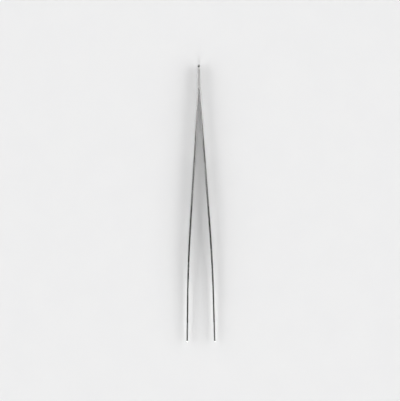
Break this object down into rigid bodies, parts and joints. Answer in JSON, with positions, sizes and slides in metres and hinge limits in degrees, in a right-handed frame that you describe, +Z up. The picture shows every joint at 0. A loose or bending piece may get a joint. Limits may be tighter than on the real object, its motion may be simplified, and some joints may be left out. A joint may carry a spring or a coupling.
{
  "type": "aquascaping tweezers",
  "caption": "Long straight steel tweezers for planting aquariums: bowed, tapering spring arms welded at a flat heel, with fluted grips and serrated jaws that close when squeezed.",
  "frame": {"origin": "middle of the tweezers' length, on the centre plane between the arms, on the surface that they lie on", "axes": "+X from the left arm to the right arm, the way the jaws open; +Y from the points to the heel; +Z up, across the width of the arms"},
  "size_m": [0.0284, 0.27, 0.0105],
  "materials": {
    "arm_steel": "satin stainless steel",
    "weld_steel": "as welded"
  },
  "bodies": {
    "heel": {"left_tang": "arm_steel", "right_tang": "arm_steel", "spot_welds": "weld_steel"},
    "left_arm": {"left_arm": "arm_steel"},
    "right_arm": {"right_arm": "arm_steel"}
  },
  "joints": [
    {"name": "left_flex", "type": "hinge", "parent": "heel", "child": "left_arm", "pos_m": [-0.00085, 0.11044, 0.00525], "axis": [0, 0, 1], "range_deg": [0, 2.9], "stiffness_Nm_per_rad": 10.5},
    {"name": "right_flex", "type": "hinge", "parent": "heel", "child": "right_arm", "pos_m": [0.00085, 0.11044, 0.00525], "axis": [0, 0, 1], "range_deg": [-2.9, 0], "stiffness_Nm_per_rad": 10.5}
  ],
  "couplings": [
    {"joint": "right_flex", "follows": "left_flex", "ratio": -1}
  ]
}
